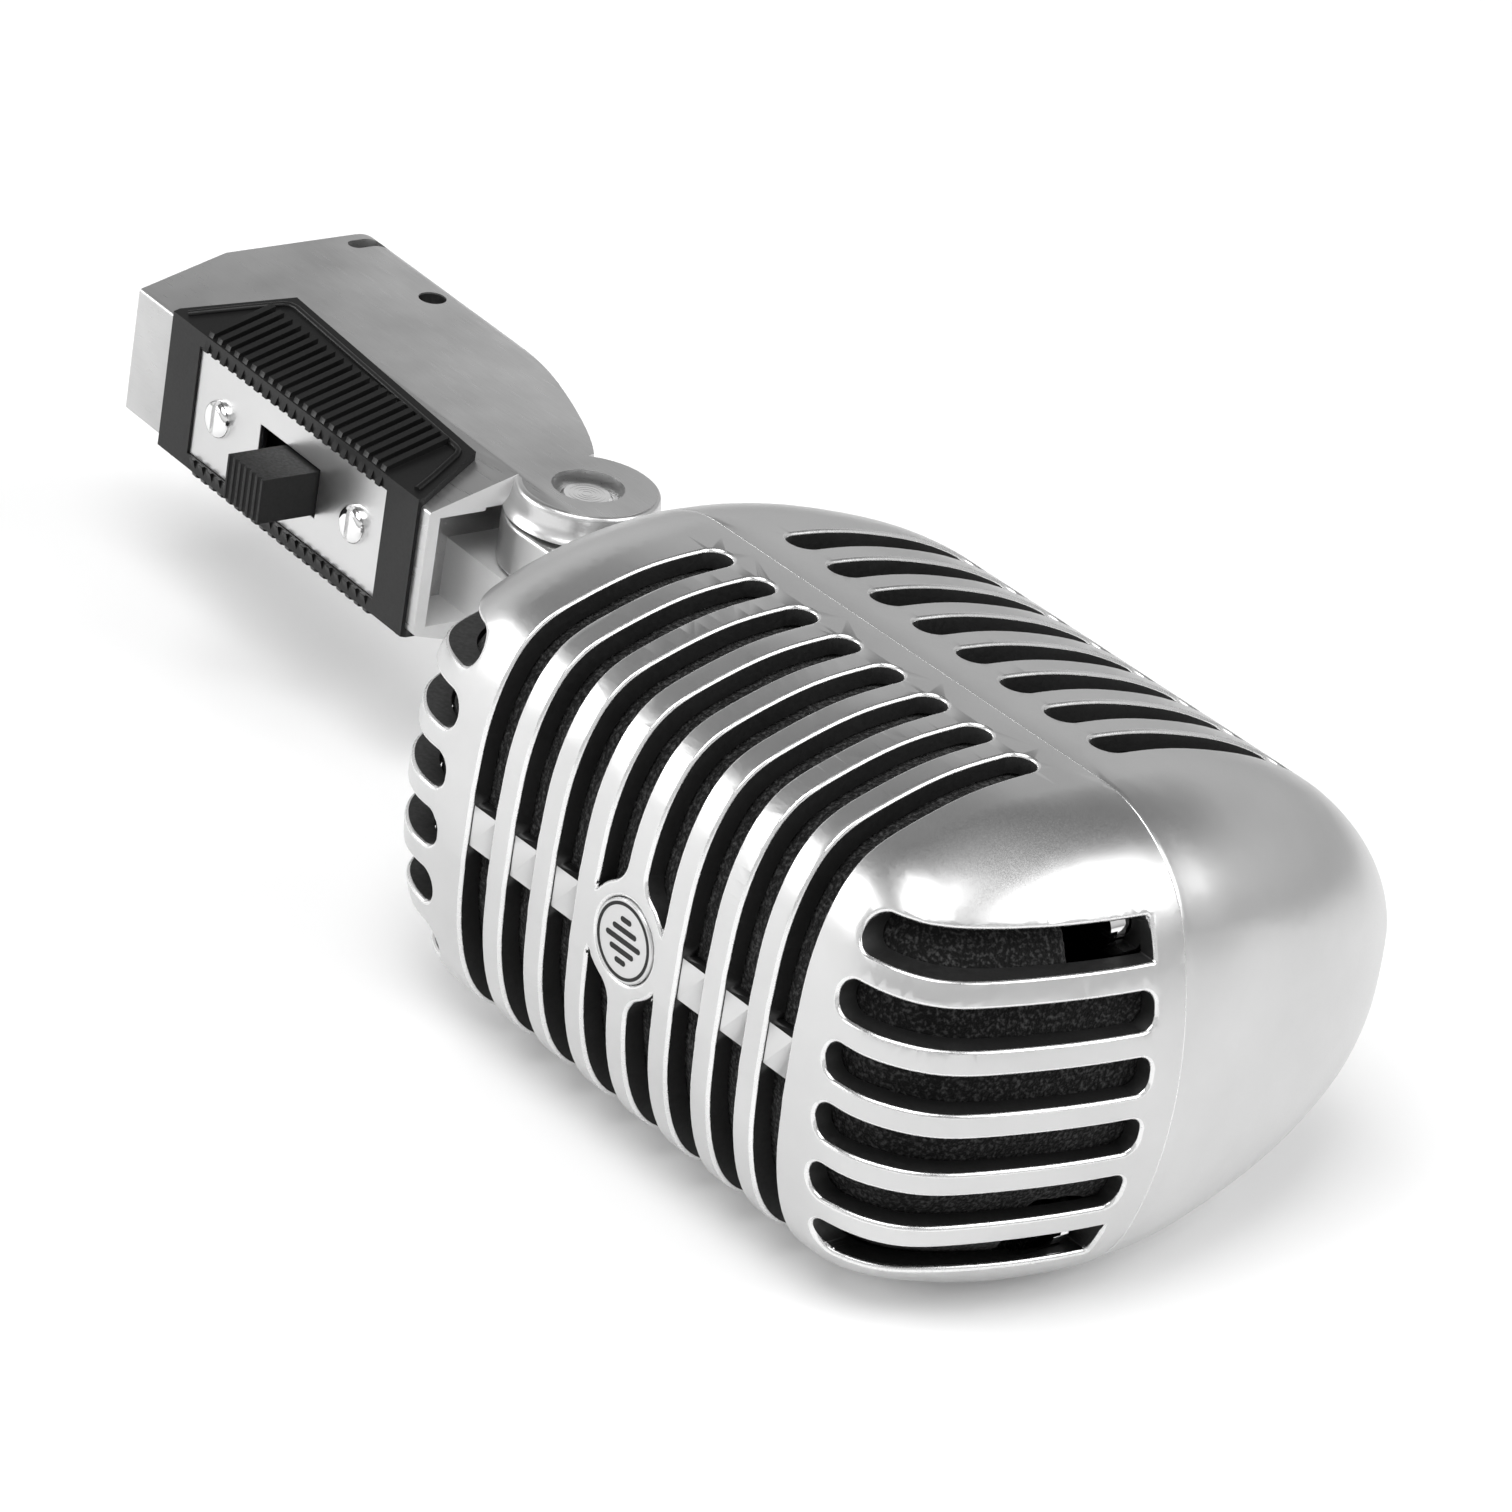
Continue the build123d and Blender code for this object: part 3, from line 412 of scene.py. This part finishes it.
def round_mouths(name, node_name):
    """Stands for a shell node, with rounded slot mouths in a lighter metal that is partly a painted
    highlight, slots blackened with dark paint and painted shade, and a fine seam.
    """
    bm = welded_copy(node_name)
    rings, parting = mouth_loops(bm)
    paint_regions(bm)
    mesh = bpy.data.meshes.new(name)
    bm.to_mesh(mesh)
    bm.free()
    edges = [(ring, MOUTH_RADIUS) for ring in rings] + [(ring, SEAM_RADIUS) for ring in parting]
    cutter_mesh = mouth_cutter(edges)
    for each in (mesh, cutter_mesh):
        for material in (satin, dark_paint_and_shade, rim_metal_and_highlight):
            each.materials.append(material)
    # The rounded mouths take the rim metal, lighter as a painted highlight
    for face in cutter_mesh.polygons:
        face.material_index = RIM
    piece = add_object(name, mesh)
    cutter = add_object("mouths", cutter_mesh)
    cut = piece.modifiers.new("cut", "BOOLEAN")
    cut.operation = "DIFFERENCE"
    cut.solver = "MANIFOLD"
    cut.object = cutter
    apply_modifiers(piece)
    bpy.data.objects.remove(cutter)
    smooth(piece)
    weigh_normals(piece)
    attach(piece, "head")
    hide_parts(node_name)


round_mouths("grille_casting", "front_grille")
round_mouths("shell_casting", "rear_shell")


# ---------------------------------------------------------------- softened edges
FLAT_ANGLE = math.radians(0.4)

# The space between the ears and the faces round it, rougher as cast and paler as painted light
FORK_BOTTOM_U = -11.9
FORK_FRONT_B, FORK_BACK_B = -16.5, 12
FORK_LOW, FORK_HIGH = -10, 0.7


def soften(name, node_name, body, material, width):
    """Stands for a node whose sharp edges are worn round."""
    bm = welded_copy(node_name)
    bmesh.ops.dissolve_limit(bm, angle_limit=FLAT_ANGLE, verts=bm.verts, edges=bm.edges)
    mesh = bpy.data.meshes.new(name)
    bm.to_mesh(mesh)
    bm.free()
    mesh.materials.append(material)
    piece = add_object(name, mesh)
    edge = piece.modifiers.new("edge", "BEVEL")
    edge.width = width
    edge.segments = 2
    edge.limit_method = "ANGLE"
    edge.angle_limit = math.radians(CREASE_DEGREES)
    edge.use_clamp_overlap = True
    apply_modifiers(piece)
    smooth(piece)
    weigh_normals(piece)
    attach(piece, body)
    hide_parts(node_name)
    return piece


soften("neck_casting", "swivel_neck", "head", satin, 0.12 * MM)
soften("badge_disc", "badge", "head", satin, 0.12 * MM)
soften("bezel_moulding", "switch_bezel", "base", black, 0.22 * MM)
soften("knob_moulding", "switch_knob", "switch", matte, 0.2 * MM)
soften("plate_stamping", "switch_plate", "base", plate_metal, 0.12 * MM)
base_shell = soften("base_shell", "base_casting", "base", brushed, 0.35 * MM)
# The fork's faces take the paler metal, painted light that lifts the recess, besides its rougher
# cast surface
base_shell.data.materials.append(cast_and_lit_metal)
for face in base_shell.data.polygons:
    place = face.center - PIVOT
    above_bottom = place.dot(BASE_U) > FORK_BOTTOM_U * MM
    front_to_back = FORK_FRONT_B * MM < place.dot(BASE_B) < FORK_BACK_B * MM
    if above_bottom and front_to_back and FORK_LOW * MM < place.z < FORK_HIGH * MM:
        face.material_index = 1


# ---------------------------------------------------------------- foam behind the slots
FOAM_GRID = 0.75 * MM
FINE_LUMPS, COARSE_LUMPS = 900, 260
LUMP_HEIGHT = 0.1
FOAM_SINK = 0.12


def foam_piece(name, node_name):
    """A fleecy liner: the plain liner remeshed finely and roughened all over."""
    bm = welded_copy(node_name)
    mesh = bpy.data.meshes.new(name)
    bm.to_mesh(mesh)
    bm.free()
    piece = add_object(name, mesh)
    grid = piece.modifiers.new("grid", "REMESH")
    grid.mode = "VOXEL"
    grid.voxel_size = FOAM_GRID
    apply_modifiers(piece)
    bm = bmesh.new()
    bm.from_mesh(piece.data)
    moved = []
    for vert in bm.verts:
        rough = noise.noise(vert.co * FINE_LUMPS) + noise.noise(vert.co * COARSE_LUMPS)
        moved.append(vert.co + vert.normal * (LUMP_HEIGHT * rough - FOAM_SINK) * MM)
    for vert, place in zip(bm.verts, moved):
        vert.co = place
    bm.to_mesh(piece.data)
    bm.free()
    piece.data.materials.clear()
    piece.data.materials.append(foam)
    piece.data.shade_smooth()
    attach(piece, "head")
    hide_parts(node_name)


foam_piece("foam_fleece_front", "foam_liner_front")
foam_piece("foam_fleece_rear", "foam_liner_rear")


# ---------------------------------------------------------------- turned and swept details
def finish_piece(name, bm, body, material, degrees=40):
    """Makes the piece and puts it on its body, with faces smoothed up to an angle, if any."""
    bmesh.ops.recalc_face_normals(bm, faces=bm.faces)
    mesh = bpy.data.meshes.new(name)
    bm.to_mesh(mesh)
    bm.free()
    mesh.materials.append(material)
    piece = add_object(name, mesh)
    if degrees:
        smooth(piece, degrees)
    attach(piece, body)


def turn_profile(bm, profile, u=0.0, b=0.0, turns=128):
    """Turns a closed profile of (radius, height) in mm round an upright axis of the base."""
    rings = []
    for radius, height in profile:
        ring = []
        for i in range(turns):
            angle = 2 * math.pi * i / turns
            place = on_base(u + radius * math.cos(angle), b + radius * math.sin(angle), height)
            ring.append(bm.verts.new(place))
        rings.append(ring)
    bridge(bm, rings, closed=True)


def tube_along(bm, points, radius, sides):
    """A bead of the given radius (m) along a line of points, its corners mitred."""
    rows = []
    for i, point in enumerate(points):
        before, after = points[max(i - 1, 0)], points[min(i + 1, len(points) - 1)]
        along = (after - before).normalized()
        side = along.cross(UP).normalized()
        over = side.cross(along)
        row = []
        for k in range(sides):
            angle = 2 * math.pi * k / sides
            spoke = side * math.cos(angle) + over * math.sin(angle)
            row.append(bm.verts.new(point + spoke * radius))
        rows.append(row)
    bridge(bm, rows, closed=False)


def ear_flare():
    """The visible ear's wall swells and flares to a foot as wide as the neck below it."""
    bm = bmesh.new()
    inner, top, foot = 7.6, 10.93, 7.38
    profile = [(inner, top), (8.1, top), (8.3, 10.8), (8.45, 10.5), (8.52, 10.1), (8.56, 9.6)]
    profile += [(8.6, 9.1), (8.68, 8.6), (8.85, 8.15), (9.1, 7.8), (9.3, 7.55), (9.35, foot)]
    profile += [(inner, foot)]
    turn_profile(bm, profile)
    finish_piece("ear_flare", bm, "base", satin)


def pin_details():
    """A dark ring of painted shadow round each end of the pivot pin, and fine turning marks on the
    ends.
    """
    bm = bmesh.new()
    inner, outer, floor, top = 3.02, 3.3, 9.02, 9.12
    for side in (-1, 1):
        ring = ((inner, floor), (outer, floor), (outer, top), (inner, top))
        turn_profile(bm, [(r, side * h) for r, h in ring])
    finish_piece("pin_shadow_gaps", bm, "base", dark_paint_and_shade)
    bm = bmesh.new()
    foot, crest, half = 9.99, 10.03, 0.12
    for side in (-1, 1):
        for radius in (0.5, 1.0, 1.5, 2.0):
            ridge = ((radius, foot), (radius + half, crest), (radius + 2 * half, foot))
            turn_profile(bm, [(r, side * h) for r, h in ridge], turns=64)
    finish_piece("pin_turning_marks", bm, "base", bright)


def hole_liner():
    """The round hole through the casting's upper side is lined inside with painted shade."""
    bm = bmesh.new()
    inner, outer, middle = 1.69, 1.72, 0.02
    top, floor, under = 10.8, 6.0, 5.8
    profile = [(inner, top), (inner, floor), (middle, floor)]
    profile += [(middle, under), (outer, under), (outer, top)]
    turn_profile(bm, profile, u=-49.6, b=11.3, turns=40)
    finish_piece("side_hole_shade", bm, "base", dark_paint_and_shade)


# The bezel widens from its front to the base's crease, all in mm from the pivot
FRONT_HALF, CREASE_HALF = 7.8, 11.0
FRONT_B, CREASE_B = -17.7, -6.0
FLARE = (CREASE_HALF - FRONT_HALF) / (CREASE_B - FRONT_B)
BEZEL_FRONT_B = -18.2
BEZEL_FRONT_HALF = 8.703
RIDGE_LIFT = 0.05
RIDGE_RADIUS = 0.42 * MM


def bezel_ridges():
    """A raised rounded ridge frames the ribs on each flare of the bezel."""
    bm = bmesh.new()
    line = [(-58.3, -17.3), (-57.0, -15.2), (-54.5, -11.2), (-52.4, -8.0), (-51.6, -7.5)]
    line += [(-50.6, -7.35), (-40.0, -7.95), (-26.0, -8.75), (-13.4, -9.45), (-12.4, -9.65)]
    line += [(-11.8, -10.3), (-9.9, -14.6), (-8.9, -17.3)]
    for side in (-1, 1):
        points = []
        for u, b in line:
            h = BEZEL_FRONT_HALF + FLARE * (b - BEZEL_FRONT_B) + RIDGE_LIFT
            points.append(on_base(u, b, side * h))
        tube_along(bm, points, RIDGE_RADIUS, 12)
    finish_piece("bezel_ridges", bm, "base", black)


def thread_turns():
    """The turns of the stand thread in its bore."""
    bm = bmesh.new()
    pitch, start, turns, steps = 0.94, -68.2, 11.6, 60
    bore_b, root, crest, half_ridge = -8.4, 7.45, 7.2, 0.4
    rows = []
    for i in range(int(turns * steps) + 1):
        angle = 2 * math.pi * i / steps
        u = start + pitch * i / steps
        row = []
        for radius, shift in ((root, -half_ridge), (crest, 0.0), (root, half_ridge)):
            b = bore_b + radius * math.cos(angle)
            place = on_base(u + shift + half_ridge, b, radius * math.sin(angle))
            row.append(bm.verts.new(place))
        rows.append(row)
    bridge(bm, rows, closed=False)
    finish_piece("stand_thread_turns", bm, "base", bright, 25)


ear_flare()
pin_details()
hole_liner()
bezel_ridges()
thread_turns()


# ---------------------------------------------------------------- badge inlay
INLAY_DEPTH = 0.03 * MM
RING_OUTER, RING_INNER = 4.35, 3.95
RING_STEPS = 96
BARS = ((-2.4, 0.9), (-1.2, 2.0), (0, 2.9), (1.2, 2.0), (2.4, 0.9))
BAR_HALF_WIDTH = 0.32
BAR_END_STEPS = 8


def on_badge(x, z, lift):
    """A point of the badge: x along the head and z up in mm from its middle, lift in metres."""
    return (HEAD_X + x * MM, BADGE_FACE_Y + lift, AXIS_Z + z * MM)


def badge_inlay():
    """Dark enamel in the badge: a ring, and five rounded bars that rise and fall like a sound."""
    bm = bmesh.new()
    depth = INLAY_DEPTH
    rings = []
    corners = ((RING_OUTER, depth), (RING_OUTER, -depth), (RING_INNER, -depth), (RING_INNER, depth))
    for radius, lift in corners:
        ring = []
        for i in range(RING_STEPS):
            turn = 2 * math.pi * i / RING_STEPS
            place = on_badge(radius * math.cos(turn), radius * math.sin(turn), lift)
            ring.append(bm.verts.new(place))
        rings.append(ring)
    bridge(bm, rings, closed=True)
    for z, half in BARS:
        outline = []
        for end in (1, -1):
            for i in range(BAR_END_STEPS + 1):
                turn = math.pi * i / BAR_END_STEPS
                across = z + end * BAR_HALF_WIDTH * math.cos(turn)
                along = end * (half - BAR_HALF_WIDTH + BAR_HALF_WIDTH * math.sin(turn))
                outline.append((along, across))
        top = [bm.verts.new(on_badge(x, z, -depth)) for x, z in outline]
        low = [bm.verts.new(on_badge(x, z, depth)) for x, z in outline]
        bridge(bm, [top, low], closed=False)
    finish_piece("badge_inlay", bm, "head", black, degrees=None)


badge_inlay()


# ---------------------------------------------------------------- floor, light and camera
def make_floor():
    mesh = bpy.data.meshes.new("floor")
    reach = 30.0
    corners = [(-reach, -reach, 0), (reach, -reach, 0), (reach, reach, 0), (-reach, reach, 0)]
    mesh.from_pydata(corners, [], [(0, 1, 2, 3)])
    floor = add_object("floor", mesh)
    material, nodes, links, bsdf = new_material("floor")
    tone = noise_node(nodes, links, object_coords(nodes), 2.0)
    links.new(ramp(nodes, links, tone, grey(0.90), grey(0.92)), bsdf.inputs["Base Color"])
    bsdf.inputs["Roughness"].default_value = 0.9
    bsdf.inputs["Specular IOR Level"].default_value = 0.1
    bsdf.inputs["Emission Color"].default_value = (1, 1, 1, 1)
    bsdf.inputs["Emission Strength"].default_value = 0.06
    mesh.materials.append(material)


def softbox(name, place, aim, size, power):
    light = bpy.data.lights.new(name, "AREA")
    light.shape = "RECTANGLE"
    light.size, light.size_y = size
    light.energy = power
    lamp = bpy.data.objects.new(name, light)
    lamp.location = place
    lamp.rotation_euler = (Vector(aim) - Vector(place)).to_track_quat("-Z", "Y").to_euler()
    bpy.context.scene.collection.objects.link(lamp)


def make_world():
    """A pale studio: dull underfoot, light walls, dark high up, and a duller back."""
    world = bpy.data.worlds.new("studio")
    bpy.context.scene.world = world
    world.use_nodes = True
    nodes, links = world.node_tree.nodes, world.node_tree.links
    split = nodes.new("ShaderNodeSeparateXYZ")
    links.new(nodes.new("ShaderNodeTexCoord").outputs["Generated"], split.inputs["Vector"])
    height = nodes.new("ShaderNodeValToRGB")
    stops = ((0.0, 0.45), (0.20, 0.80), (0.40, 0.90), (0.50, 0.70))
    stops += ((0.64, 0.26), (0.80, 0.16), (1.0, 0.35))
    height.color_ramp.elements.remove(height.color_ramp.elements[1])
    height.color_ramp.elements[0].color = (*grey(stops[0][1]), 1)
    for place, value in stops[1:]:
        stop = height.color_ramp.elements.new(place)
        stop.color = (*grey(value), 1)
    links.new(split.outputs["Z"], height.inputs["Fac"])
    back = nodes.new("ShaderNodeMapRange")
    back.inputs["From Min"].default_value = -0.2
    back.inputs["From Max"].default_value = 1.0
    back.inputs["To Min"].default_value = 1.0
    back.inputs["To Max"].default_value = 0.78
    links.new(split.outputs["Y"], back.inputs["Value"])
    background = nodes["Background"]
    links.new(height.outputs["Color"], background.inputs["Color"])
    links.new(back.outputs["Result"], background.inputs["Strength"])


def make_light():
    make_world()
    centre = (0, 0, 0.02)
    softbox("key", (-0.75, -0.80, 0.40), centre, (0.70, 0.40), 5.4)
    softbox("top", (0.22, -0.46, 1.05), centre, (0.75, 0.75), 9.0)
    softbox("side", (0.85, 0.50, 0.95), centre, (0.75, 0.75), 7.5)


def make_camera():
    """The view that the part's size was worked out from."""
    camera = bpy.data.cameras.new("camera")
    camera.sensor_width = 36.0
    camera.lens = 187.66
    camera.clip_start = 0.01
    body = bpy.data.objects.new("camera", camera)
    body.location = (0.58584, -0.52559, 0.41496)
    body.rotation_euler = [math.radians(a) for a in (63.1705, -8.2826, 51.3087)]
    bpy.context.scene.collection.objects.link(body)
    bpy.context.scene.camera = body


make_floor()
make_light()
make_camera()
bpy.context.scene.view_settings.view_transform = "Standard"
